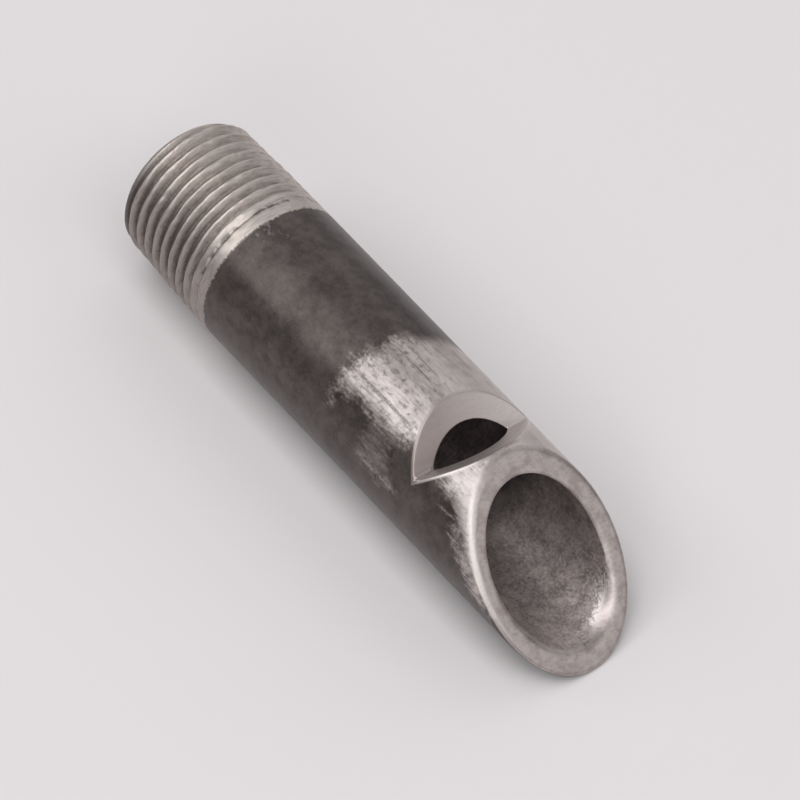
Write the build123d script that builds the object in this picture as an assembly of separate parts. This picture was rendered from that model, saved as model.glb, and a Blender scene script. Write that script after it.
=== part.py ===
from build123d import *
import os
from math import atan, ceil, degrees, radians, tan

# Oil burner nozzle cut from one length of half-inch steel pipe, in millimetres.
# The pipe's axis is X. The origin is the centre of the threaded end's face, +X points to
# the open mouth, and the notch is in the top of the pipe, at +Z.

# The pipe: a 3 1/2 inch nipple of medium-wall half-inch steel pipe. This length is to the
# sharp tip of the slanting cut. Filing the edge round brings the tip back to 88.9.
pipe_length = 89.3
pipe_diameter = 21.3
wall = 2.6

# The outside taper pipe thread: right-hand, 14 threads to the inch, with worn crests. Its
# groove starts off the end of the pipe, keeps its full depth for some turns and then fades
# out, and past it a short band of the taper is left plain.
thread_pitch = 25.4 / 14
thread_taper = 1 / 16
thread_crest_diameter_at_end = 20.1
thread_depth = 1.15
thread_flank_angle = 30.0
thread_root_flat = 0.12
thread_start_x = -1.3 * thread_pitch
thread_full_turns = 9
groove_end_x = 18.8
end_chamfer = 1.35
end_deburr = 0.25

# The V notch sawn down into the top wall: its floor is a line at this place and height,
# and its two walls lean away from each other by these angles from upright
notch_x = 61.7
notch_floor_height = 5.45
notch_lean_back = 43.5
notch_lean_forward = 47.5

# The slanting mouth's angle to the pipe's axis, and the small turn about Z that the
# hand-held saw gave to all three cuts
mouth_angle = 45.0
cut_skew = 2.3

# Filed edges
mouth_outer_round = 0.3
mouth_inner_round = 0.5

# How far the thread cutter stands out of the crests, and how much of a turn its last
# stretch overlaps the one before
groove_overshoot = 0.25
fade_overlap_turns = 0.1

# Where the seam of the round faces lies, in degrees round from the top: low on one side,
# clear of the notch and of the pipe's middle plane
seam_turn = 108.0

pipe_radius = pipe_diameter / 2
bore_radius = pipe_radius - wall
mouth_axis_x = pipe_length - pipe_radius / tan(radians(mouth_angle))


def crest_radius(x):
    """Radius of the thread's crests at x, before the pipe's own outside limits it."""
    return (thread_crest_diameter_at_end + x * thread_taper) / 2


def pipe_blank():
    """The pipe with its bore, its chamfered end and the cone that the thread is cut on."""
    cone_end = (pipe_diameter - thread_crest_diameter_at_end) / thread_taper
    chamfer_top = crest_radius(end_chamfer)
    uncut_length = pipe_length + pipe_radius
    wall_section = Polyline(
        (0, bore_radius + end_deburr),
        (0, chamfer_top - end_chamfer),
        (end_chamfer, chamfer_top),
        (cone_end, pipe_radius),
        (uncut_length, pipe_radius),
        (uncut_length, bore_radius),
        (end_deburr, bore_radius),
        close=True,
    )
    blank = revolve(Plane.XZ * make_face(wall_section), axis=Axis.X)
    return blank.rotate(Axis.X, seam_turn)


def groove_cutter(start_x, length, root_radius, rise_angle, start_turn):
    """A turn or less of the thread's V groove, swept along a conical helix about X."""
    height = thread_depth + groove_overshoot
    half_root = thread_root_flat / 2
    half_top = half_root + height * tan(radians(thread_flank_angle))
    path = Helix(
        thread_pitch,
        length,
        root_radius,
        center=(start_x, 0, 0),
        direction=(1, 0, 0),
        cone_angle=rise_angle,
    )
    tangent = path % 0
    across = Vector(1, 0, 0) - tangent * tangent.X
    section_plane = Plane(origin=path @ 0, x_dir=across, z_dir=tangent)
    section = Polygon(
        (-half_root, 0),
        (half_root, 0),
        (half_top, height),
        (-half_top, height),
        align=None,
    )
    cutter = sweep(section_plane * section, path=path, is_frenet=True)
    return cutter.rotate(Axis.X, 360 * start_turn)


def cut_groove(pipe, start_x, length, rise_angle, start_turn):
    """Cut a stretch of the groove, a turn at a time. Its root starts at the thread's full depth."""
    start_root = crest_radius(start_x) - thread_depth
    for turn in range(ceil(length / thread_pitch)):
        ahead = turn * thread_pitch
        root = start_root + ahead * tan(radians(rise_angle))
        turn_length = min(thread_pitch, length - ahead)
        pipe = pipe - groove_cutter(start_x + ahead, turn_length, root, rise_angle, start_turn)
    return pipe


def cut_thread(pipe):
    """The groove at full depth along the taper, then its last turns rising out of the pipe."""
    taper_angle = degrees(atan(thread_taper / 2))
    full_length = thread_full_turns * thread_pitch
    pipe = cut_groove(pipe, thread_start_x, full_length, taper_angle, 0)
    fade_x = thread_start_x + full_length - fade_overlap_turns * thread_pitch
    fade_length = groove_end_x - fade_x
    fade_rise = pipe_radius - crest_radius(fade_x) + thread_depth
    fade_angle = degrees(atan(fade_rise / fade_length))
    return cut_groove(pipe, fade_x, fade_length, fade_angle, -fade_overlap_turns)


def turn_with_saw(cutter, x):
    """Turn a cut made square across the pipe at x by the saw's small skew."""
    return cutter.rotate(Axis((x, 0, 0), (0, 0, 1)), cut_skew)


def cut_mouth(pipe):
    """The slanting cut across the whole pipe, with its inner and outer edges filed round."""
    size = 4 * pipe_diameter
    cutter = Box(size, size, size, align=(Align.MIN, Align.CENTER, Align.CENTER))
    cutter = cutter.rotate(Axis.Y, mouth_angle - 90).translate((mouth_axis_x, 0, 0))
    pipe = pipe - turn_with_saw(cutter, mouth_axis_x)
    mouth = pipe.faces().filter_by(GeomType.PLANE).sort_by(Axis.X)[-1]
    pipe = pipe.fillet(mouth_inner_round, mouth.inner_wires()[0].edges())
    mouth = pipe.faces().filter_by(GeomType.PLANE).sort_by(Axis.X)[-1]
    return pipe.fillet(mouth_outer_round, mouth.outer_wire().edges())


def cut_notch(pipe):
    """The V notch across the top wall, down into the bore."""
    height = pipe_diameter
    top = notch_floor_height + height
    outline = Polyline(
        (notch_x, notch_floor_height),
        (notch_x + height * tan(radians(notch_lean_forward)), top),
        (notch_x - height * tan(radians(notch_lean_back)), top),
        close=True,
    )
    cutter = extrude(Plane.XZ * make_face(outline), amount=pipe_diameter, both=True)
    return pipe - turn_with_saw(cutter, notch_x)


def nozzle_pipe():
    """The whole nozzle: one piece of pipe, threaded, cut off slanting and notched."""
    return cut_notch(cut_thread(cut_mouth(pipe_blank())))


os.makedirs("parts", exist_ok=True)
export_step(nozzle_pipe(), "parts/nozzle_pipe.step")
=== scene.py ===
import math

import bmesh
import bpy
import numpy as np
from mathutils import Matrix, Vector, noise


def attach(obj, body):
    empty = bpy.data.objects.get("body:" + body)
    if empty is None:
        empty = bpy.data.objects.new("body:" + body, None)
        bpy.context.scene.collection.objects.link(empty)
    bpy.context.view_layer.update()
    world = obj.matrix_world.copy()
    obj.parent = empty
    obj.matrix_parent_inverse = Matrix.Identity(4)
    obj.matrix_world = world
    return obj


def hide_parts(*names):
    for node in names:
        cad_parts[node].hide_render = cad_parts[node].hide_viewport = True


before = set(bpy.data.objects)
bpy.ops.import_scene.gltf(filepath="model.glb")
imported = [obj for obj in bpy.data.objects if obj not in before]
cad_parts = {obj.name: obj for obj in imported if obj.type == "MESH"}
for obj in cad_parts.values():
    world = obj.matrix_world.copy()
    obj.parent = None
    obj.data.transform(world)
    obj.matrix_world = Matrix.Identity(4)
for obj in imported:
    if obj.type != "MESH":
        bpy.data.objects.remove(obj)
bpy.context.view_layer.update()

# ---------------------------------------------------------------------------
# The nozzle's dimensions, in millimetres, in the frame's axes: the pipe runs
# along X from its threaded end at 0, and the notch is in its top, at +Z.
# ---------------------------------------------------------------------------
MM = 0.001
NODE = "nozzle_pipe"
PIPE_LENGTH = 89.3  # to the tip as sawn, before its edge was filed
PIPE_RADIUS = 10.65
OUTSIDE_RADIUS = 10.645  # of the skin itself, a hair inside the CAD's box
BORE_RADIUS = 8.05

# The thread's groove starts off the pipe's end, keeps its full depth for some turns, one
# more than in the CAD, and then rises out of the pipe
PITCH = 25.4 / 14
CREST_RADIUS_AT_END = 10.11
TAPER = 1 / 32  # on the radius
THREAD_DEPTH = 1.15
ROOT_HALF_FLAT = 0.06
FLANK_SLOPE = 1 / math.tan(math.radians(30))
THREAD_START_X = -1.3 * PITCH
FULL_TURNS = 10
FADE_OVERLAP_TURNS = 0.1
GROOVE_END_X = 18.8
END_CHAMFER = 1.35

# The notch's floor is at this place and height, and its walls lean away from each other.
# The mouth slants, and the saw gave all three cuts the same small turn about Z.
NOTCH_X = 61.7
NOTCH_FLOOR = 5.45
LEAN_BACK = math.tan(math.radians(43.5))
LEAN_FORWARD = math.tan(math.radians(47.5))
MOUTH_ANGLE = math.radians(45)
SKEW = -math.tan(math.radians(2.3))
MOUTH_COT = 1 / math.tan(MOUTH_ANGLE)
MOUTH_AXIS_X = PIPE_LENGTH - PIPE_RADIUS * MOUTH_COT

# Angles round the pipe are from its top, and grow towards its far side, at +Y. A lobe is
# the angle in degrees that something is strongest at, and how far it reaches to each side.

# The die went on a little askew: the thread's axis is this far off the pipe's at the
# end, towards this angle, and meets it this far along
THREAD_OFFSET = 0.28
THREAD_OFFSET_ANGLE = math.radians(66)
THREAD_TRUE_X = 20.0
SHALLOW = 0.30  # how much shallower the groove is at the middle of the next lobe
SHALLOW_LOBE = (60, 50)

# The crests of the first turns are worn. The others stand higher, and the rise between
# them has this length
WORN_TO_X = 8.5
UNWORN_CREST = 0.10
UNWORN_RISE = 2.0

# Crests that wander along the pipe, and nicks knocked into them. They fade out at the
# thread's two ends and leave the plain pipe and the bore alone.
WEAR_FROM_X = 0.15
WEAR_TO_X = 19.4
WEAR_FADE = 1.5
WEAR_RADIUS = 8.7
WANDER_BROAD = 0.09
WANDER_FINE = 0.03
KNOCK_DEPTH = 0.26
ROUGH_DEPTH = 0.035

# The notch's floor is worn round at the left corner and sharp at the right one
FLOOR_ROUND_LEFT = 1.2
FLOOR_ROUND_RIGHT = 0.1

# How far each kind of edge is rounded
CREST_ROUND = 0.32
ROOT_ROUND = 0.35
END_ROUND = 0.22
NOTCH_ROUND = 0.09
BORE_END_ROUND = 0.35

# The mouth's two edges: how far each is rounded at the top, how much more at the bottom,
# and how much more where the outer one has a bevel and the inner one is dressed smooth
MOUTH_OUTER_ROUND = 0.47
MOUTH_OUTER_ROUND_LOW = 0.15
BEVEL_ROUND = 0.55
BEVEL_LOBE = (-70, 40)
MOUTH_INNER_ROUND = 0.4
MOUTH_INNER_ROUND_LOW = 0.24
DRESSED_ROUND = 0.6
DRESSED_LOBE = (147, 33)

# ---------------------------------------------------------------------------
# The nozzle's surface as a smooth function: below 0 inside the steel
# ---------------------------------------------------------------------------
FADE_X = THREAD_START_X + (FULL_TURNS - FADE_OVERLAP_TURNS) * PITCH


def cone_radius(x):
    """Radius of the cone that the thread is cut on."""
    return CREST_RADIUS_AT_END + x * TAPER


def crest_radius(x):
    """Radius of the crests: past the first turns, which are worn, they stand higher."""
    t = np.clip((x - WORN_TO_X + UNWORN_RISE / 2) / UNWORN_RISE, 0, 1)
    return cone_radius(x) + UNWORN_CREST * t * t * (3 - 2 * t)


def lobe(theta, centre, reach):
    """1 at an angle in degrees from the top, falling smoothly on both sides."""
    return np.exp(-(((np.degrees(theta) - centre) / reach) ** 2))


def soft_min(a, b, r):
    """The lower of two surfaces, with the corner where they cross rounded off."""
    h = np.maximum(r - np.abs(a - b), 0) / r
    return np.minimum(a, b) - h * h * r / 4


def root_radius(x):
    """Radius of the groove's root: along the taper, then rising out of the pipe."""
    full = cone_radius(x) - THREAD_DEPTH
    at_fade = cone_radius(FADE_X) - THREAD_DEPTH
    rise = (PIPE_RADIUS - at_fade) / (GROOVE_END_X - FADE_X)
    return np.where(x < FADE_X, full, at_fade + (x - FADE_X) * rise)


def groove_offset(x, theta):
    """Distance along the pipe to the nearest turn of the groove."""
    turns = (x - THREAD_START_X) / PITCH + theta / (2 * math.pi)
    return (turns - np.round(turns)) * PITCH


def thread_shift(x):
    """How far the thread's axis is off the pipe's at x."""
    return THREAD_OFFSET * np.clip(1 - x / THREAD_TRUE_X, 0, None)


def outer_radius(x, theta):
    """The outside's radius about the thread's axis."""
    plain = np.minimum(crest_radius(x), PIPE_RADIUS)
    chamfer = crest_radius(END_CHAMFER) - END_CHAMFER + x
    off = np.abs(groove_offset(x, theta))
    root = root_radius(x) + SHALLOW * lobe(theta, *SHALLOW_LOBE)
    groove = root + FLANK_SLOPE * np.maximum(off - ROOT_HALF_FLAT, 0)
    groove = -soft_min(-groove, -root - ROOT_ROUND / 4, ROOT_ROUND)
    crest = soft_min(plain, chamfer, 3 * END_ROUND)
    return soft_min(crest, groove, CREST_ROUND)


def mouth_x(y, z):
    """Where the mouth's plane is."""
    return MOUTH_AXIS_X - z * MOUTH_COT + SKEW * y


def notch_back_x(y, z):
    """Where the notch's wall towards the thread is."""
    return NOTCH_X - (z - NOTCH_FLOOR) * LEAN_BACK + SKEW * y


def notch_front_x(y, z):
    """Where the notch's wall towards the mouth is."""
    return NOTCH_X + (z - NOTCH_FLOOR) * LEAN_FORWARD + SKEW * y


def cut_distances(x, y, z):
    """How far out of the mouth's plane and past the notch's back and front wall points are."""
    mouth = (x - mouth_x(y, z)) / math.sqrt(1 + MOUTH_COT**2 + SKEW**2)
    back = (x - notch_back_x(y, z)) / math.sqrt(1 + LEAN_BACK**2 + SKEW**2)
    front = (notch_front_x(y, z) - x) / math.sqrt(1 + LEAN_FORWARD**2 + SKEW**2)
    return mouth, back, front


def corner(a, b, r):
    """The higher of two surfaces, with the edge where they cross rounded to a radius."""
    rounded = np.hypot(np.maximum(r + a, 0), np.maximum(r + b, 0))
    return np.minimum(-r, np.maximum(a, b)) + rounded


def steel(p):
    """Roughly the distance in millimetres to the nozzle's surface, below 0 inside the steel."""
    x, y, z = p[:, 0], p[:, 1], p[:, 2]
    rho = np.hypot(y, z)
    theta = np.arctan2(y, z)
    shift = thread_shift(x)
    ty = y - shift * math.sin(THREAD_OFFSET_ANGLE)
    tz = z - shift * math.cos(THREAD_OFFSET_ANGLE)
    out = np.hypot(ty, tz) - outer_radius(x, np.arctan2(ty, tz))
    out = np.maximum(out, rho - OUTSIDE_RADIUS)
    bore = BORE_RADIUS - rho
    end = -x
    mouth, back, front = cut_distances(x, y, z)
    left = np.clip(0.5 - 0.5 * y / BORE_RADIUS, 0, 1)  # 0 at the notch's right corner, 1 at its left
    notch = soft_min(back, front, FLOOR_ROUND_RIGHT + (FLOOR_ROUND_LEFT - FLOOR_ROUND_RIGHT) * left)
    low = 0.5 - 0.5 * np.cos(theta)  # 0 at the top, 1 at the bottom
    outer_round = MOUTH_OUTER_ROUND + MOUTH_OUTER_ROUND_LOW * low
    outer_round += BEVEL_ROUND * lobe(theta, *BEVEL_LOBE)
    inner_round = MOUTH_INNER_ROUND + MOUTH_INNER_ROUND_LOW * low
    inner_round += DRESSED_ROUND * lobe(theta, *DRESSED_LOBE)
    ends = corner(out, end, END_ROUND)
    outside = corner(ends, notch, NOTCH_ROUND)
    outside = corner(outside, mouth, outer_round)
    inside = corner(bore, end, BORE_END_ROUND)
    inside = corner(inside, notch, NOTCH_ROUND)
    inside = corner(inside, mouth, inner_round)
    return np.maximum(outside, inside)


def steel_slope(p, nudge=1e-4):
    """The function's slope along each axis, measured over a nudge to each side."""
    slope = np.empty_like(p)
    for axis in range(3):
        q = p.copy()
        q[:, axis] += nudge
        ahead = steel(q)
        q[:, axis] -= 2 * nudge
        slope[:, axis] = (ahead - steel(q)) / (2 * nudge)
    return slope


def settle(p, steps=7, reach=0.6, least_slope=0.15):
    """Move points onto the surface along the function's own slope, by reach at most."""
    start = p.copy()
    for _ in range(steps):
        slope = steel_slope(p)
        size = np.maximum((slope**2).sum(1), least_slope)
        p = p - (steel(p) / size)[:, None] * slope
        moved = p - start
        length = np.linalg.norm(moved, axis=1)
        far = length > reach
        p[far] = start[far] + moved[far] * (reach / length[far])[:, None]
    return p


def noise_at(p, scale, shift):
    """Smooth noise from about -1 to 1 at each point."""
    return np.array([noise.noise(Vector((x * scale + shift, y * scale, z * scale))) for x, y, z in p])


def wear_thread(p):
    """Let the thread's crests wander along the pipe and knock small nicks into them."""
    rho = np.hypot(p[:, 1], p[:, 2])
    on = (p[:, 0] > WEAR_FROM_X) & (p[:, 0] < WEAR_TO_X) & (rho > WEAR_RADIUS)
    q = p[on]
    x, rho = q[:, 0], rho[on]
    ends = np.clip((x - WEAR_FROM_X) / WEAR_FADE, 0, 1) * np.clip((WEAR_TO_X - x) / WEAR_FADE, 0, 1)
    wander = WANDER_BROAD * noise_at(q, 0.4, 3) + WANDER_FINE * noise_at(q, 1.1, 17)
    knocks = np.clip(noise_at(q, 0.8, 31) - 0.22, 0, 1)
    rough = np.clip(0.35 + noise_at(q, 1.7, 53), 0, 1)
    high = np.clip((rho - (cone_radius(x) - THREAD_DEPTH)) / THREAD_DEPTH, 0, 1)
    drop = (KNOCK_DEPTH * knocks + ROUGH_DEPTH * rough) * high
    q[:, 0] += wander * ends
    q[:, 1:] *= (1 - drop * np.clip(ends, 0.3, 1) / rho)[:, None]
    p[on] = q
    return p


# ---------------------------------------------------------------------------
# The mesh: columns round the pipe and rows that run along its outside, over the
# mouth, back along the bore and across the threaded end
# ---------------------------------------------------------------------------
COLUMNS = 240
HALF = COLUMNS // 2
NOTCH_COLUMNS = 38  # the columns from the top to the notch's corner
TURN = np.arange(-HALF, HALF)  # the columns' numbers, 0 at the top
IN_NOTCH = np.abs(TURN) < NOTCH_COLUMNS

# How far from an edge the rows beside it lie: at the notch's lip, the mouth's two edges
# seen along the pipe, the cut faces' edges across the wall, the start of the bore and the
# end of the thread
LIP_STEPS = [0, 0.05, 0.11, 0.2, 0.35, 0.6, 1.0]
MOUTH_STEPS = [0, 0.12, 0.25, 0.4, 0.6, 0.9, 1.4]
FACE_STEPS = [0, 0.08, 0.17, 0.28, 0.42]
BORE_START_STEPS = [0, 0.1, 0.22, 0.4, 0.7]
THREAD_END_STEPS = [0, 0.5]
MOST_SQUEEZED = 0.42  # the share of a short run that such rows may take at each end

# How many rows lie between those of the two edges
OUTSIDE_ROWS = 40
BRIDGE_ROWS = 22
BORE_ROWS = 44
FACE_ROWS = 5

# The threaded end: rows across its face as shares of the way out, then along the chamfer
END_FACE_ROWS = np.array([0.0, 0.2, 0.42, 0.64, 0.84, 1.0])
THREAD_FROM = 0.42
END_EDGE_ROWS = (0.1, 0.24, THREAD_FROM)

# Rows of one turn of the groove: shares of its half width and of the crest beside it,
# both used on each side
GROOVE_STEPS = (0.07, 0.39, 0.69, 0.91)
CREST_STEPS = (0.12, 0.72)
PER_TURN = 2 * (len(GROOVE_STEPS) + len(CREST_STEPS))
THREAD_TO = 20.1
TRIM = 0.03  # rows this near to a ring at the thread's ends become part of it
LEAST_GROOVE = 0.02  # the depth that sets the rows' spread where the groove has faded out


def theta_of(j, radius):
    """Angle from the top of column j. One column runs through the notch's corners."""
    corner_angle = math.acos(NOTCH_FLOOR / radius)
    inside = j / NOTCH_COLUMNS * corner_angle
    rest = (np.abs(j) - NOTCH_COLUMNS) / (HALF - NOTCH_COLUMNS)
    outside = np.sign(j) * (corner_angle + rest * (math.pi - corner_angle))
    return np.where(np.abs(j) <= NOTCH_COLUMNS, inside, outside)


OUT_THETA = theta_of(TURN, PIPE_RADIUS)
IN_THETA = theta_of(TURN, BORE_RADIUS)


class Net:
    """Points and faces gathered as numpy arrays."""

    def __init__(self):
        self.points, self.count, self.faces = [], 0, []

    def add(self, x, radius, theta):
        """Add a point for each place and give their numbers."""
        x, radius, theta = np.broadcast_arrays(x, radius, theta)
        y, z = radius * np.sin(theta), radius * np.cos(theta)
        flat = np.stack([x, y, z], -1).reshape(-1, 3)
        self.points.append(flat)
        first = self.count
        self.count += len(flat)
        return first + np.arange(len(flat)).reshape(x.shape)

    def add_threaded(self, x, theta):
        """Points of the thread, about its own axis and kept inside the pipe's outside."""
        radius, shift = outer_radius(x, theta), thread_shift(x)
        y = radius * np.sin(theta) + shift * math.sin(THREAD_OFFSET_ANGLE)
        z = radius * np.cos(theta) + shift * math.cos(THREAD_OFFSET_ANGLE)
        return self.add(x, np.minimum(np.hypot(y, z), PIPE_RADIUS), np.arctan2(y, z))

    def strip(self, a, b):
        """Faces between two rows of point numbers. Repeated corners fold a face away."""
        for quad in zip(a[:-1], b[:-1], b[1:], a[1:]):
            seen = tuple(dict.fromkeys(int(v) for v in quad))
            if len(seen) > 2:
                self.faces.append(seen)

    def skin(self, rows, closed=True):
        """Faces between each row and the next, all the way round if closed."""
        for a, b in zip(rows[:-1], rows[1:]):
            if closed:
                a, b = np.append(a, a[0]), np.append(b, b[0])
            self.strip(a, b)


def spaced(first, last, near_first, near_last, middle):
    """Positions from first to last, per column, close together near the ends."""
    length = last - first
    reach = max(near_first[-1], near_last[-1])
    squeeze = np.minimum(1, MOST_SQUEEZED * length / reach)
    head = [first + d * squeeze for d in near_first]
    tail = [last - d * squeeze for d in reversed(near_last)]
    steps = np.arange(1, middle + 1) / (middle + 1)
    body = [head[-1] + (tail[0] - head[-1]) * s for s in steps]
    return head + body + tail


WALL_RADII = spaced(np.float64(BORE_RADIUS), np.float64(PIPE_RADIUS), FACE_STEPS, FACE_STEPS, FACE_ROWS)


def theta_between(radius, outermost):
    """The columns' angles at a radius between the bore's and the outermost one."""
    share = (radius - BORE_RADIUS) / (outermost - BORE_RADIUS)
    return IN_THETA + (OUT_THETA - IN_THETA) * share


def lip_x(radius, theta, wall_x):
    """Where a wall of the notch meets the pipe at a radius. Clear of the notch, its middle."""
    y, z = radius * np.sin(theta), radius * np.cos(theta)
    return np.where(z > NOTCH_FLOOR, wall_x(y, z), NOTCH_X + SKEW * y)


def mouth_at(radius, theta):
    """Where the mouth's plane meets the pipe at a radius."""
    return mouth_x(radius * np.sin(theta), radius * np.cos(theta))


def end_rows(net):
    """The threaded end's face, from the bore outwards, then the start of the chamfer."""
    end_radius = crest_radius(END_CHAMFER) - END_CHAMFER
    face_radii = BORE_RADIUS + (end_radius - BORE_RADIUS) * END_FACE_ROWS
    rows = [net.add(0.0, r, theta_between(r, end_radius)) for r in face_radii]
    return rows + [net.add_threaded(np.full(COLUMNS, x), OUT_THETA) for x in END_EDGE_ROWS]


def thread_rows(net, low_ring, high_ring):
    """Rows that follow the groove round, trimmed at a ring at each end."""
    first = math.floor((THREAD_FROM - THREAD_START_X) / PITCH - 0.5) - 1
    last = math.ceil((THREAD_TO - THREAD_START_X) / PITCH + 0.5) + 1
    rows = []
    for n in range(first, last + 1):
        centre = THREAD_START_X + PITCH * (n - OUT_THETA / (2 * math.pi))
        top = np.minimum(crest_radius(centre), PIPE_RADIUS)
        depth = np.clip(top - root_radius(centre), LEAST_GROOVE, None)
        half = ROOT_HALF_FLAT + depth / FLANK_SLOPE
        spare = PITCH / 2 - half
        offsets = [half * s for s in GROOVE_STEPS]
        offsets += [half + spare * s for s in CREST_STEPS]
        for off in [-o for o in reversed(offsets)] + offsets:
            x = centre + off
            row = net.add_threaded(x, OUT_THETA)
            row = np.where(x <= THREAD_FROM + TRIM, low_ring, row)
            rows.append(np.where(x >= THREAD_TO - TRIM, high_ring, row))
    # round one turn, each row meets the row a pitch before it
    for i in range(PER_TURN, len(rows)):
        before = rows[i - 1 - PER_TURN] if i > PER_TURN else low_ring
        net.strip(np.append(rows[i - 1], before[0]), np.append(rows[i], rows[i - PER_TURN][0]))


def outside_rows(net, high_ring):
    """The outside from the thread to the notch, and from the notch to the mouth."""
    back_x = lip_x(PIPE_RADIUS, OUT_THETA, notch_back_x)
    front_x = lip_x(PIPE_RADIUS, OUT_THETA, notch_front_x)
    rows = spaced(np.full(COLUMNS, THREAD_TO), back_x, THREAD_END_STEPS, LIP_STEPS, OUTSIDE_ROWS)
    left = [high_ring] + [net.add(x, PIPE_RADIUS, OUT_THETA) for x in rows[1:]]
    rows = spaced(front_x, mouth_at(PIPE_RADIUS, OUT_THETA), LIP_STEPS, MOUTH_STEPS, BRIDGE_ROWS)
    right = [net.add(x, PIPE_RADIUS, OUT_THETA) for x in rows]
    right[0] = np.where(IN_NOTCH, right[0], left[-1])
    return left, right


def mouth_rows(net):
    """The mouth's face, from just inside its outer edge to the bore."""
    rows = []
    for r in WALL_RADII[-2::-1]:
        theta = theta_between(r, PIPE_RADIUS)
        rows.append(net.add(mouth_at(r, theta), r, theta))
    return rows


def bore_rows(net):
    """The bore from the mouth back to the notch, and from the notch to the threaded end."""
    back_x = lip_x(BORE_RADIUS, IN_THETA, notch_back_x)
    front_x = lip_x(BORE_RADIUS, IN_THETA, notch_front_x)
    rows = spaced(front_x, mouth_at(BORE_RADIUS, IN_THETA), LIP_STEPS, MOUTH_STEPS, BRIDGE_ROWS)
    right = [net.add(x, BORE_RADIUS, IN_THETA) for x in rows[:-1]][::-1]
    rows = spaced(np.zeros(COLUMNS), back_x, BORE_START_STEPS, LIP_STEPS, BORE_ROWS)
    left = [net.add(x, BORE_RADIUS, IN_THETA) for x in rows[1:]][::-1]
    right[-1] = np.where(IN_NOTCH, right[-1], left[0])
    return left, right


def notch_walls(net, inner_back, inner_front, outer_back, outer_front):
    """The notch's two walls, which meet in its floor at the corner columns."""
    columns = np.arange(-NOTCH_COLUMNS, NOTCH_COLUMNS + 1)
    pick = columns + HALF
    back, front = [inner_back[pick]], [inner_front[pick]]
    for r in WALL_RADII[1:-1]:
        theta = theta_of(columns, r)
        y, z = r * np.sin(theta), r * np.cos(theta)
        b = net.add(notch_back_x(y, z), r, theta)
        f = net.add(notch_front_x(y, z), r, theta)
        f[0], f[-1] = b[0], b[-1]
        back.append(b)
        front.append(f)
    back.append(outer_back[pick])
    front.append(outer_front[pick])
    net.skin(back, closed=False)
    net.skin(front[::-1], closed=False)


def nozzle_net():
    """The whole skin, before its points are moved onto the surface."""
    net = Net()
    end = end_rows(net)
    high_ring = net.add(THREAD_TO, PIPE_RADIUS, OUT_THETA)
    thread_rows(net, end[-1], high_ring)
    outer_left, outer_right = outside_rows(net, high_ring)
    face = mouth_rows(net)
    inner_left, inner_right = bore_rows(net)
    net.skin(outer_left)
    net.skin(outer_right + face + inner_right)
    net.skin(inner_left + end)
    notch_walls(net, inner_left[0], inner_right[-1], outer_left[-1], outer_right[0])
    return net


def outline_distance(x, arc, outline):
    """Signed distance in millimetres from a closed outline on the unrolled pipe, positive inside."""
    points = np.array([(px, math.radians(deg) * PIPE_RADIUS) for px, deg in outline])
    nearest = np.full(len(x), 1e9)
    inside = np.zeros(len(x), bool)
    for (ax, ay), (bx, by) in zip(points, np.roll(points, -1, axis=0)):
        dx, dy = bx - ax, by - ay
        t = np.clip(((x - ax) * dx + (arc - ay) * dy) / (dx * dx + dy * dy), 0, 1)
        nearest = np.minimum(nearest, np.hypot(x - ax - t * dx, arc - ay - t * dy))
        if ay != by:
            crosses = (ay > arc) != (by > arc)
            inside ^= crosses & (x < ax + (arc - ay) / (by - ay) * dx)
    return np.where(inside, nearest, -nearest)


# Outlines on the unrolled pipe, as (millimetres along it, degrees round from the top)
CLEANED = [
    (44.7, -57), (44.9, -45), (47.4, -43), (50.0, -41), (51.6, -45), (53.5, -44), (56.5, -42), (58.3, -39),
    (61.5, -34), (64.5, -38), (67.0, -43), (69.2, -45), (71.0, -56), (74.0, -74), (77.0, -90), (95.0, -120),
    (95.0, 120), (77.0, 100), (66.0, 75), (55.0, 70), (48.2, 62), (47.6, 40), (47.0, 16), (45.7, 8),
    (45.2, -12), (44.8, -30),
]
HAZE = [
    (51.7, -42), (51.9, -62), (52.3, -74), (52.6, -81), (57.0, -81), (60.0, -77), (57.4, -72), (57.0, -60),
    (57.6, -42),
]
FLECKS = [(20.0, -20), (22.2, -14), (22.8, -2), (20.2, -4)]

# Where the marks on the edges are, and the threaded end's dirt and painted shade, in millimetres
END_DARK_LOBE = (-78, 42)
END_DARK_REACH = 1.7  # along the pipe
END_DARK_RADIUS = 8.6  # outside of this
DRESSED_REACH = 3.2  # back from the mouth
DRESSED_RADIUS = 9.2  # inside of this
RIM_LOBE = (-68, 48)
RIM_WIDTH = 1.3
RIM_REACH = 1.6  # back from the mouth


def front_wall_mask(y, back, front):
    """The notch's wall towards the mouth, with the worn floor at its left: stain and painted shade, most
    there.
    """
    on_left = np.clip(-y / 8, 0, 1)
    on_wall = (front > back - 0.05 - 0.5 * on_left) & (front > -0.3)
    return on_wall * np.clip(0.75 - y / 12, 0.15, 1)


def end_dirt_and_shade_mask(x, rho, theta):
    """Dirt and painted shade on the outside of the threaded end's edge, on its near side."""
    near_end = np.clip(1.5 - x / END_DARK_REACH, 0, 1)
    return lobe(theta, *END_DARK_LOBE) * near_end * (rho > END_DARK_RADIUS)


def dressed_mask(rho, theta, mouth):
    """The stretch of the mouth's inner edge that was dressed smooth."""
    near_mouth = np.clip(1 + mouth / DRESSED_REACH, 0, 1)
    return lobe(theta, *DRESSED_LOBE) * near_mouth * (rho < DRESSED_RADIUS)


def rim_mask(rho, theta, mouth):
    """The left of the mouth's outer rim, left bright beside its bevel."""
    near_rim = np.clip((rho - PIPE_RADIUS + RIM_WIDTH) / 0.6, 0, 1)
    return lobe(theta, *RIM_LOBE) * near_rim * (mouth > -RIM_REACH)


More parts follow.
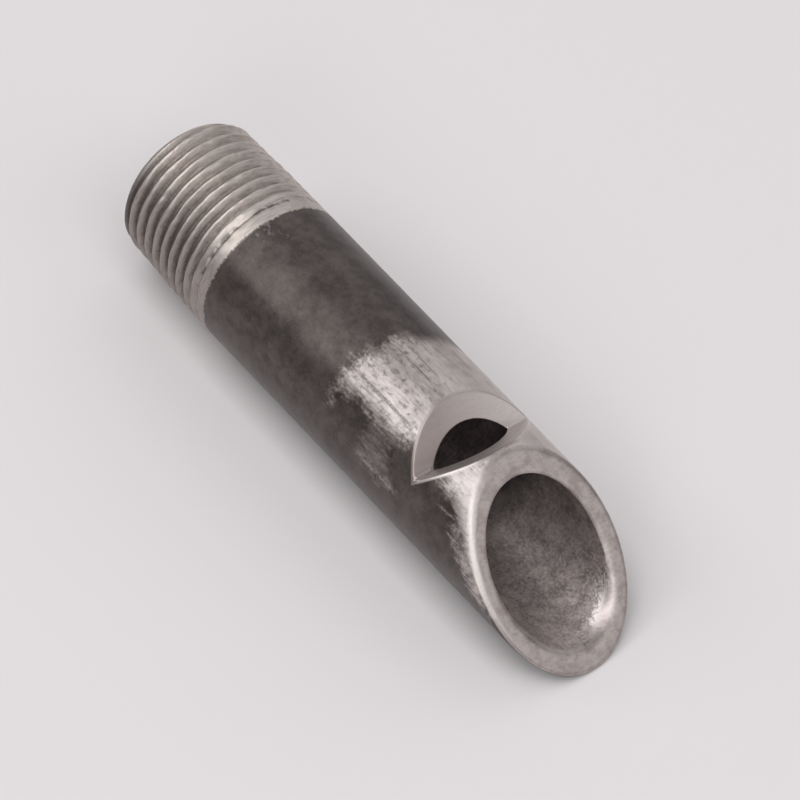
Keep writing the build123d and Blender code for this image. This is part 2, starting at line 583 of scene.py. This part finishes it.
def paint(mesh, p):
    """Millimetre distances and masks that the material reads, one value for each point."""
    x, y, z = p[:, 0], p[:, 1], p[:, 2]
    rho, theta = np.hypot(y, z), np.arctan2(y, z)
    arc = theta * PIPE_RADIUS
    mouth, back, front = cut_distances(x, y, z)
    top = np.minimum(crest_radius(x), PIPE_RADIUS)
    values = {
        "sawn": np.maximum(mouth, np.minimum(back, front)),
        "mouth": mouth,
        "bored": rho - BORE_RADIUS,
        "along": x,
        "arc": arc,
        "groove": np.where(rho > WEAR_RADIUS, (top - rho) / THREAD_DEPTH, 0),
        "cleaned": outline_distance(x, arc, CLEANED),
        "haze": outline_distance(x, arc, HAZE),
        "flecks": outline_distance(x, arc, FLECKS),
        "dressed": dressed_mask(rho, theta, mouth),
        "end_dirt": end_dirt_and_shade_mask(x, rho, theta),
        "upper": np.clip(0.6 + np.cos(theta), 0, 1),
        "far_side": 0.5 + 0.5 * np.cos(theta - THREAD_OFFSET_ANGLE),
        "front_wall": front_wall_mask(y, back, front),
        "rim": rim_mask(rho, theta, mouth),
    }
    for name, value in values.items():
        layer = mesh.attributes.new(name, "FLOAT", "POINT")
        layer.data.foreach_set("value", value.astype(np.float32))


def face_outwards(mesh):
    """Turn every face of a closed mesh outwards."""
    bm = bmesh.new()
    bm.from_mesh(mesh)
    bmesh.ops.recalc_face_normals(bm, faces=bm.faces)
    bm.to_mesh(mesh)
    bm.free()


def make_nozzle():
    """The nozzle's mesh: the net on the surface, worn, and without its unused points."""
    net = nozzle_net()
    p = wear_thread(settle(np.concatenate(net.points)))
    used = np.unique(np.concatenate([np.array(f) for f in net.faces]))
    renumber = -np.ones(len(p), int)
    renumber[used] = np.arange(len(used))
    p = p[used]
    faces = [tuple(int(renumber[v]) for v in f) for f in net.faces]
    mesh = bpy.data.meshes.new("nozzle")
    mesh.from_pydata((p * MM).tolist(), [], faces)
    mesh.validate()
    face_outwards(mesh)
    paint(mesh, p)
    mesh.polygons.foreach_set("use_smooth", [True] * len(mesh.polygons))
    obj = bpy.data.objects.new("nozzle_body", mesh)
    bpy.context.collection.objects.link(obj)
    return obj


# ---------------------------------------------------------------------------
# Steel: one material whose layers follow the distances painted on the points
# ---------------------------------------------------------------------------
class Graph:
    """Short calls for building a node tree. Values are numbers or sockets."""

    def __init__(self, tree):
        self.tree = tree

    def link(self, value, socket):
        if isinstance(value, bpy.types.NodeSocket):
            self.tree.links.new(value, socket)
        elif isinstance(value, tuple) and len(value) == 3 and socket.type == "RGBA":
            socket.default_value = (*value, 1)
        else:
            socket.default_value = value

    def math(self, operation, a, b=0.0, clamp=False):
        node = self.tree.nodes.new("ShaderNodeMath")
        node.operation = operation
        node.use_clamp = clamp
        for value, socket in zip((a, b), node.inputs):
            self.link(value, socket)
        return node.outputs[0]

    def add(self, a, b):
        return self.math("ADD", a, b)

    def times(self, a, b):
        return self.math("MULTIPLY", a, b)

    def most(self, a, b):
        return self.math("MAXIMUM", a, b)

    def inverse(self, a):
        return self.math("SUBTRACT", 1.0, a)

    def centred(self, noise, size):
        """A noise moved from about 0.5 to about 0, and scaled."""
        return self.times(self.add(noise, -0.5), size)

    def ramp(self, value, low, high, to_low=0.0, to_high=1.0):
        """A smooth step from to_low to to_high while the value goes from low to high."""
        node = self.tree.nodes.new("ShaderNodeMapRange")
        node.interpolation_type = "SMOOTHSTEP"
        for v, socket in zip((value, low, high, to_low, to_high), node.inputs):
            self.link(v, socket)
        return node.outputs[0]

    def mix(self, share, a, b):
        """The number a at share 0 and b at share 1."""
        node = self.tree.nodes.new("ShaderNodeMix")
        node.data_type = "FLOAT"
        for v, socket in zip((share, a, b), (node.inputs[0], node.inputs[2], node.inputs[3])):
            self.link(v, socket)
        return node.outputs[0]

    def blend(self, share, a, b):
        """The colour a at share 0 and b at share 1."""
        node = self.tree.nodes.new("ShaderNodeMix")
        node.data_type = "RGBA"
        for v, socket in zip((share, a, b), (node.inputs[0], node.inputs[6], node.inputs[7])):
            self.link(v, socket)
        return node.outputs[2]

    def painted(self, name):
        """A value that paint() left on the mesh."""
        node = self.tree.nodes.new("ShaderNodeAttribute")
        node.attribute_name = name
        return node.outputs["Fac"]

    def scaled(self, vector, scale, shift=(0, 0, 0)):
        node = self.tree.nodes.new("ShaderNodeMapping")
        self.link(vector, node.inputs[0])
        node.inputs["Scale"].default_value = scale
        node.inputs["Location"].default_value = shift
        return node.outputs[0]

    def noise(self, vector, scale, detail, rough):
        node = self.tree.nodes.new("ShaderNodeTexNoise")
        self.link(vector, node.inputs["Vector"])
        node.inputs["Scale"].default_value = scale
        node.inputs["Detail"].default_value = detail
        node.inputs["Roughness"].default_value = rough
        return node.outputs[0]


# Colours of the layers
SCALE_DARK = (0.060, 0.048, 0.045)
SCALE_LIGHT = (0.132, 0.110, 0.104)
BARE = (0.635, 0.578, 0.556)
BARE_DULL = (0.355, 0.312, 0.294)
FILED = (0.69, 0.632, 0.612)
MOUTH_METAL = (0.52, 0.465, 0.450)
MOUTH_STAIN_AND_SHADE = (0.35, 0.292, 0.275)
THREAD_METAL = (0.61, 0.548, 0.508)
# dark colour for dirt, also used for painted shade on the thread and its end
DIRT_AND_SHADE = (0.060, 0.050, 0.046)
BORE_DARK = (0.17, 0.143, 0.137)
BORE_LIGHT = (0.53, 0.455, 0.44)

# Scratches on the unrolled pipe: degrees round from the top, where along the pipe it
# starts and ends, half its width and how much it wanders, all in millimetres
DARK_SCRATCHES = [
    (-33.0, 45.2, 57.8, 0.22, 0.15),
    (-1.5, 45.5, 54.3, 0.10, 0.10),
    (5.5, 48.0, 54.0, 0.10, 0.10),
]
LIGHT_SCRATCHES = [
    (-77.0, 52.3, 60.2, 0.18, 0.35),
    (-79.0, 71.8, 75.8, 0.22, 0.5),
    (-73.0, 71.0, 75.0, 0.16, 0.5),
    (-68.0, 69.5, 74.0, 0.16, 0.5),
    (-57.0, 66.5, 71.5, 0.16, 0.5),
]

# Places along the pipe that the looks change at, in millimetres
THREAD_EDGE = (19.6, 20.0)  # the bare metal of the thread ends, raggedly
LAST_GROOVE = 17.85
BRIGHTER_FROM = (50.0, 55.0)  # the cleaned metal gets brighter towards the notch,
BRIGHTER_TO = (55.5, 60.0)  # in two steps
FEWER_PITS = (62.0, 66.0)
DARKER_BORE_STARTS = (55.0, 59.0)
DARKER_BORE_ENDS = (61.0, 67.0)

# Heights of the bump, in millimetres
GRAINY_BUMP = 0.035
SCRATCH_BUMP = 0.006
PIT_BUMP = 0.012
FILE_MARK_BUMP = 0.012
FILED_GRAIN_BUMP = 0.006
TURNED_BUMP = 0.014
THREAD_GRAIN_BUMP = 0.022
BORE_BUMP = 0.10


class Steel(Graph):
    """The steel's graph, with the painted values and the noises that its layers share.

    Each layer below gives its colour and roughness, and what else the last step needs.
    """

    PAINTED = (
        "sawn", "mouth", "bored", "along", "arc", "groove", "cleaned", "haze", "flecks",
        "dressed", "end_dirt", "upper", "far_side", "front_wall", "rim",
    )

    def __init__(self, tree):
        super().__init__(tree)
        for name in self.PAINTED:
            setattr(self, name, self.painted(name))
        place = tree.nodes.new("ShaderNodeTexCoord").outputs["Object"]
        self.mm = self.scaled(place, (1000, 1000, 1000))
        self.streaks = self.scaled(self.mm, (0.13, 1, 1), (3, 7, 1))
        self.rings = self.scaled(self.mm, (1, 0.12, 0.12), (5, 2, 8))
        file_marks = self.scaled(self.mm, (1, 0.3, 1), (2, 4, 9))
        self.broad = self.noise(self.mm, 0.16, 4, 0.6)
        self.patchy = self.noise(self.mm, 0.55, 5, 0.65)
        self.fine = self.noise(self.mm, 2.6, 4, 0.6)
        self.grain = self.noise(self.mm, 7.0, 3, 0.6)
        self.blots = self.noise(self.scaled(self.mm, (0.7, 1, 1), (11, 4, 6)), 1.7, 2, 0.45)
        self.brushed = self.noise(self.streaks, 2.2, 4, 0.7)
        self.scratches = self.noise(self.streaks, 7.0, 3, 0.7)
        self.turned_marks = self.noise(self.rings, 5.0, 3, 0.6)
        self.filed_marks = self.noise(file_marks, 3.0, 4, 0.7)

    def scratch(self, degrees, start, end, half_width, wander):
        """One scratch along the pipe, broken up and soft at its ends."""
        from_line = self.add(self.arc, self.centred(self.patchy, 2 * wander))
        from_line = self.add(from_line, -math.radians(degrees) * PIPE_RADIUS)
        from_line = self.math("ABSOLUTE", from_line)
        across = self.ramp(from_line, 0.4 * half_width, 1.5 * half_width, 1.0, 0.0)
        starts = self.ramp(self.along, start, start + 1.6)
        stops = self.ramp(self.along, end - 1.6, end, 1.0, 0.0)
        broken = self.ramp(self.fine, 0.36, 0.5, 0.25, 1.0)
        return self.times(self.times(across, self.times(starts, stops)), broken)

    def scratch_set(self, lines):
        """All the scratches of a list, on the upper side only."""
        total = self.scratch(*lines[0])
        for line in lines[1:]:
            total = self.most(total, self.scratch(*line))
        return self.times(total, self.upper)


def mill_scale(g):
    """Broad tone, with fine mottling and light specks where the scale is rubbed."""
    tone = g.ramp(g.add(g.times(g.broad, 0.35), g.times(g.patchy, 0.65)), 0.30, 0.72)
    mottling = g.add(g.times(g.fine, 0.5), g.times(g.grain, 0.5))
    tone = g.math("ADD", tone, g.centred(mottling, 1.5), clamp=True)
    rough = g.add(g.mix(g.patchy, 0.31, 0.45), g.centred(g.grain, 0.22))
    return g.blend(tone, SCALE_DARK, SCALE_LIGHT), rough


def cleaned_masks(g):
    """Where the outside is bare, ragged on the left and soft over the top, and where only hazy."""
    ragged = g.add(g.centred(g.brushed, 3.6), g.centred(g.patchy, 4.5))
    ragged = g.add(ragged, g.centred(g.fine, 2.2))
    ragged = g.times(ragged, g.ramp(g.arc, -1.0, 4.0, 1.0, 0.22))
    bare = g.ramp(g.add(g.cleaned, ragged), -1.6, 1.4)
    hazy = g.ramp(g.add(g.haze, g.times(ragged, 0.8)), -0.9, 1.1)
    streaky = g.add(g.times(g.fine, 0.4), g.times(g.brushed, 0.6))
    hazy = g.times(hazy, g.ramp(streaky, 0.34, 0.64, 0.12, 0.62))
    flecks = g.add(g.add(g.flecks, -0.6), g.centred(g.blots, 9.0))
    flecks = g.times(g.ramp(flecks, 0.0, 0.9), 0.55)
    hazy = g.most(hazy, g.most(g.scratch_set(LIGHT_SCRATCHES), flecks))
    return bare, hazy


def pit_mask(g):
    """Dark pits and scratches in the cleaned metal, fewest past the top and by the mouth."""
    level = g.add(g.times(g.brushed, 0.25), g.times(g.blots, 0.75))
    level = g.add(level, g.ramp(g.cleaned, 0.3, 6.0, -0.03, 0.02))
    level = g.add(level, g.ramp(g.along, *FEWER_PITS, 0.0, 0.05))
    level = g.add(level, g.ramp(g.arc, 1.0, 5.0, -0.01, 0.11))
    pits = g.ramp(level, 0.29, 0.49, 1.0, 0.0)
    return g.times(g.most(pits, g.scratch_set(DARK_SCRATCHES)), 0.58)


def bare_metal(g, pits):
    """The cleaned outside: duller in streaks; round the pipe, darkest just left of the top, partly painted
    shade, and lighter past it, painted light.
    """
    dullness_and_shading = g.add(g.ramp(g.scratches, 0.32, 0.6, 0.40, 0.0), g.ramp(g.brushed, 0.35, 0.6, 0.25, 0.0))
    dullness_and_shading = g.math("ADD", dullness_and_shading, g.ramp(g.along, *BRIGHTER_TO, 0.20, 0.0), clamp=True)
    dullness_and_shading = g.add(dullness_and_shading, g.centred(g.noise(g.mm, 0.6, 4, 0.65), 1.5))
    dullness_and_shading = g.add(dullness_and_shading, g.centred(g.noise(g.streaks, 1.0, 3, 0.6), 1.5))
    dullness_and_shading = g.add(dullness_and_shading, g.ramp(g.along, *BRIGHTER_FROM, 0.10, -0.06))
    # Round the pipe: darkest just left of the top, partly painted shade, and lighter to each side, painted
    # light
    dullness_and_shading = g.add(dullness_and_shading, g.ramp(g.arc, -1.5, 1.6, 0.0, -0.50))
    dullness_and_shading = g.math("ADD", dullness_and_shading, g.ramp(g.arc, -5.5, -1.5, -0.06, 0.28), clamp=True)
    colour = g.blend(pits, g.blend(dullness_and_shading, BARE, BARE_DULL), DIRT_AND_SHADE)
    return colour, g.mix(g.scratches, 0.38, 0.56)


def thread_dirt_and_shade(g):
    """Dark scale left in the thread's last groove, dirt in its knocks, and dirt and painted shade on its
    end.
    """
    from_groove = g.math("ABSOLUTE", g.add(g.add(g.along, g.centred(g.patchy, 1.0)), -LAST_GROOVE))
    left_over = g.times(g.ramp(from_groove, 0.0, 0.7, 1.0, 0.0), g.ramp(g.patchy, 0.44, 0.6))
    left_over = g.times(left_over, g.times(g.upper, 0.75))
    knocked = g.ramp(g.noise(g.rings, 1.6, 3, 0.6), 0.60, 0.70)
    dirt = g.most(left_over, g.times(knocked, 0.2))
    # the threaded end's edge: dirt and painted shade on the near side
    dirt = g.most(dirt, g.times(g.end_dirt, g.ramp(g.fine, 0.35, 0.6, 0.9, 0.35)))
    return g.most(dirt, g.ramp(g.turned_marks, 0.34, 0.55, 0.25, 0.0))


def thread_metal(g):
    """The thread: grime and painted shade in its grooves, more away from the far side, and painted shade on
    its near side.
    """
    ragged = g.add(g.centred(g.patchy, 1.0), g.centred(g.fine, 1.0))
    threaded = g.ramp(g.add(g.along, ragged), *THREAD_EDGE, 1.0, 0.0)
    # grime in the grooves together with painted shade, the shade stronger away from the far side
    grime_and_shade = g.ramp(g.add(g.groove, g.centred(g.fine, 0.5)), 0.3, 0.95)
    grime_and_shade = g.times(grime_and_shade, g.ramp(g.far_side, 0.43, 0.89, 0.78, 0.36))
    colour = g.blend(grime_and_shade, THREAD_METAL, DIRT_AND_SHADE)
    # painted shade: the thread darker on its near side, away from the far side
    colour = g.blend(g.ramp(g.far_side, 0.04, 0.43, 0.40, 0.0), colour, DIRT_AND_SHADE)
    colour = g.blend(thread_dirt_and_shade(g), colour, DIRT_AND_SHADE)
    return threaded, colour, g.mix(g.fine, 0.38, 0.54)


def cut_faces(g):
    """The sawn and filed faces: the notch's walls, and the mouth with its stains."""
    cut = g.ramp(g.sawn, -0.42, -0.16)
    cut = g.most(cut, g.ramp(g.add(g.dressed, g.centred(g.fine, 0.9)), 0.22, 0.60))
    off_rim = g.ramp(g.add(g.rim, g.centred(g.patchy, 1.6)), 0.2, 0.8, 1.0, 0.1)
    on_mouth = g.times(g.ramp(g.mouth, -1.4, -0.7), off_rim)
    stain = g.ramp(g.add(g.times(g.patchy, 0.7), g.times(g.filed_marks, 0.3)), 0.40, 0.62, 0.0, 0.85)
    mouth_colour = g.blend(stain, MOUTH_METAL, MOUTH_STAIN_AND_SHADE)
    filed_colour = g.blend(g.ramp(g.filed_marks, 0.3, 0.6, 0.22, 0.0), FILED, BARE_DULL)
    # the notch's wall towards the mouth: stain and painted shade, most on its left
    filed_colour = g.blend(g.times(g.front_wall, 0.85), filed_colour, MOUTH_STAIN_AND_SHADE)
    rough = g.add(g.mix(g.fine, 0.36, 0.48), g.ramp(g.dressed, 0.3, 0.8, 0.0, -0.08))
    return cut, g.blend(on_mouth, filed_colour, mouth_colour), rough


def bore_surface(g):
    """The bore: speckled, and darker under the notch."""
    inside = g.ramp(g.bored, 0.05, 0.25, 1.0, 0.0)
    speckle = g.add(g.times(g.patchy, 0.45), g.times(g.grain, 0.15))
    speckle = g.ramp(g.add(g.times(g.fine, 0.4), speckle), 0.33, 0.70)
    colour = g.blend(speckle, BORE_DARK, BORE_LIGHT)
    darker_under_notch = g.times(g.ramp(g.along, *DARKER_BORE_STARTS), g.ramp(g.along, *DARKER_BORE_ENDS, 1.0, 0.0))
    colour = g.blend(g.times(darker_under_notch, 0.6), colour, DIRT_AND_SHADE)
    return inside, colour, g.mix(g.fine, 0.40, 0.60)


def bump_height(g, bare, pits, threaded, inside, cut):
    """The fine relief of every layer, in millimetres."""
    grainy = g.add(g.times(g.fine, 0.6), g.times(g.grain, 0.4))
    worn = g.add(g.times(g.scratches, SCRATCH_BUMP), g.times(g.inverse(pits), PIT_BUMP))
    turned = g.add(g.times(g.turned_marks, TURNED_BUMP), g.times(grainy, THREAD_GRAIN_BUMP))
    filed = g.add(g.times(g.filed_marks, FILE_MARK_BUMP), g.times(g.fine, FILED_GRAIN_BUMP))
    height = g.mix(bare, g.times(grainy, GRAINY_BUMP), worn)
    height = g.mix(threaded, height, turned)
    height = g.mix(inside, height, g.times(g.add(grainy, g.patchy), BORE_BUMP))
    return g.mix(cut, height, filed)


def steel_material():
    """Mill scale, with the bare metal, the thread, the bore and the cut faces laid over it."""
    mat = bpy.data.materials.new("pipe_steel")
    mat.use_nodes = True
    tree = mat.node_tree
    g = Steel(tree)
    scale_colour, scale_rough = mill_scale(g)
    bare, hazy = cleaned_masks(g)
    pits = pit_mask(g)
    bare_colour, bare_rough = bare_metal(g, pits)
    threaded, thread_colour, thread_rough = thread_metal(g)
    inside, bore_colour, bore_rough = bore_surface(g)
    cut, cut_colour, cut_rough = cut_faces(g)

    colour = g.blend(g.most(bare, g.times(hazy, 0.55)), scale_colour, bare_colour)
    rough = g.mix(bare, scale_rough, bare_rough)
    layers = (
        (threaded, thread_colour, thread_rough),
        (inside, bore_colour, bore_rough),
        (cut, cut_colour, cut_rough),
    )
    for mask, layer_colour, layer_rough in layers:
        colour = g.blend(mask, colour, layer_colour)
        rough = g.mix(mask, rough, layer_rough)
    metal = g.mix(inside, g.most(g.most(bare, threaded), 0.55), 0.2)
    metal = g.most(metal, cut)
    metal = g.times(g.inverse(g.times(g.times(pits, bare), 0.8)), metal)

    bump = tree.nodes.new("ShaderNodeBump")
    bump.inputs["Strength"].default_value = 1.0
    bump.inputs["Distance"].default_value = MM
    g.link(bump_height(g, bare, pits, threaded, inside, cut), bump.inputs["Height"])
    shader = tree.nodes["Principled BSDF"]
    g.link(colour, shader.inputs["Base Color"])
    g.link(rough, shader.inputs["Roughness"])
    g.link(g.mix(metal, 0.55, 1.0), shader.inputs["Metallic"])
    g.link(bump.outputs[0], shader.inputs["Normal"])
    return mat


nozzle = make_nozzle()
nozzle.data.materials.append(steel_material())
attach(nozzle, "root")
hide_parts(NODE)

# ---------------------------------------------------------------------------
# Floor, light and camera, in millimetres. The nozzle lies a little rolled about its axis,
# so the floor and all that stands on it are turned back by as much.
# ---------------------------------------------------------------------------
ROLL = math.radians(-3.2177)
FLOOR_Z = -PIPE_RADIUS - 0.02
FLOOR_SIZE = 6000
FLOOR_MIDDLE_X = 40
FLOOR_COLOUR = (0.768, 0.736, 0.742)

# Each light: the direction it comes from, the degrees of the sky it fills along its width
# and its height, the direction of its width, and its radiance
LIGHTS = {
    "main": ((0.12, -0.18, 0.97), (88, 30), (1, 0, 0), 2.08),
    "key": ((-0.52, -0.545, 0.655), (20, 46), (0, 0.77, 0.64), 2.3),
    "front": ((0.50, -0.66, 0.50), (24, 20), (1, 0.7, 0), 3.0),
    "far": ((-0.35, 0.68, 0.62), (70, 44), (1, 0, 0), 0.60),
    "right": ((0.79, 0.34, 0.51), (46, 40), (0, 1, 0), 0.70),
}
LIGHT_DISTANCE = 1500
LIT_X = 45  # the place along the pipe that they point at
SKY_COLOUR = (0.9, 0.9, 0.92)
SKY_STRENGTH = 0.23

# The camera that was fitted to the photo
CAMERA_AZIMUTH = math.radians(-36.3378)
CAMERA_ELEVATION = math.radians(49.6566)
CAMERA_DISTANCE = 1428.52
CAMERA_TARGET = (46.2503, 0.8027, 0)
SENSOR_WIDTH = 36
FOCAL_LENGTH = 510.9426


def turned(v):
    """A direction or point of the floor's frame, in the nozzle's own frame."""
    return Matrix.Rotation(-ROLL, 3, "X") @ Vector(v)


def placed(obj, middle, axes):
    """Stand an object at a place, with its own X, Y and Z along three directions."""
    turn = Matrix([[axis[k] for axis in axes] for k in range(3)]).to_4x4()
    obj.matrix_world = Matrix.Translation(middle) @ turn


def paper_material():
    mat = bpy.data.materials.new("paper")
    mat.use_nodes = True
    shader = mat.node_tree.nodes["Principled BSDF"]
    shader.inputs["Base Color"].default_value = (*FLOOR_COLOUR, 1)
    shader.inputs["Roughness"].default_value = 0.9
    return mat


def make_floor():
    middle = turned((FLOOR_MIDDLE_X * MM, 0, FLOOR_Z * MM))
    bpy.ops.mesh.primitive_plane_add(size=FLOOR_SIZE * MM, location=middle)
    floor = bpy.context.object
    floor.name = "floor"
    floor.rotation_euler = (-ROLL, 0, 0)
    floor.data.materials.append(paper_material())


def area_light(name, direction, span, along, radiance):
    """A rectangle of light that fills span degrees of the sky, its width along one direction."""
    distance = LIGHT_DISTANCE * MM
    data = bpy.data.lights.new(name, "AREA")
    data.shape = "RECTANGLE"
    data.size, data.size_y = (2 * distance * math.tan(math.radians(a / 2)) for a in span)
    data.energy = radiance * math.pi * data.size * data.size_y
    lamp = bpy.data.objects.new(name, data)
    bpy.context.collection.objects.link(lamp)
    back = turned(direction).normalized()
    side = turned(along)
    side = (side - back * side.dot(back)).normalized()
    placed(lamp, back * distance + Vector((LIT_X * MM, 0, 0)), [side, back.cross(side), back])


def make_world():
    world = bpy.data.worlds.new("studio")
    world.use_nodes = True
    sky = world.node_tree.nodes["Background"]
    sky.inputs["Color"].default_value = (*SKY_COLOUR, 1)
    sky.inputs["Strength"].default_value = SKY_STRENGTH
    bpy.context.scene.world = world


def make_camera():
    """The photo's view. The target and the directions are in the floor's frame."""
    level = math.cos(CAMERA_ELEVATION)
    toward = Vector((
        level * math.cos(CAMERA_AZIMUTH),
        level * math.sin(CAMERA_AZIMUTH),
        math.sin(CAMERA_ELEVATION),
    ))
    right = Vector((-math.sin(CAMERA_AZIMUTH), math.cos(CAMERA_AZIMUTH), 0))
    up = toward.cross(right)
    data = bpy.data.cameras.new("camera")
    data.sensor_width = SENSOR_WIDTH
    data.lens = FOCAL_LENGTH
    data.clip_start, data.clip_end = 0.1, 20
    cam = bpy.data.objects.new("camera", data)
    bpy.context.collection.objects.link(cam)
    middle = Vector(CAMERA_TARGET) * MM + toward * (CAMERA_DISTANCE * MM)
    placed(cam, turned(middle), [turned(right), turned(up), turned(toward)])
    bpy.context.scene.camera = cam


make_floor()
make_world()
make_camera()
for light_name, light in LIGHTS.items():
    area_light(light_name, *light)

bpy.context.scene.view_settings.view_transform = "Standard"
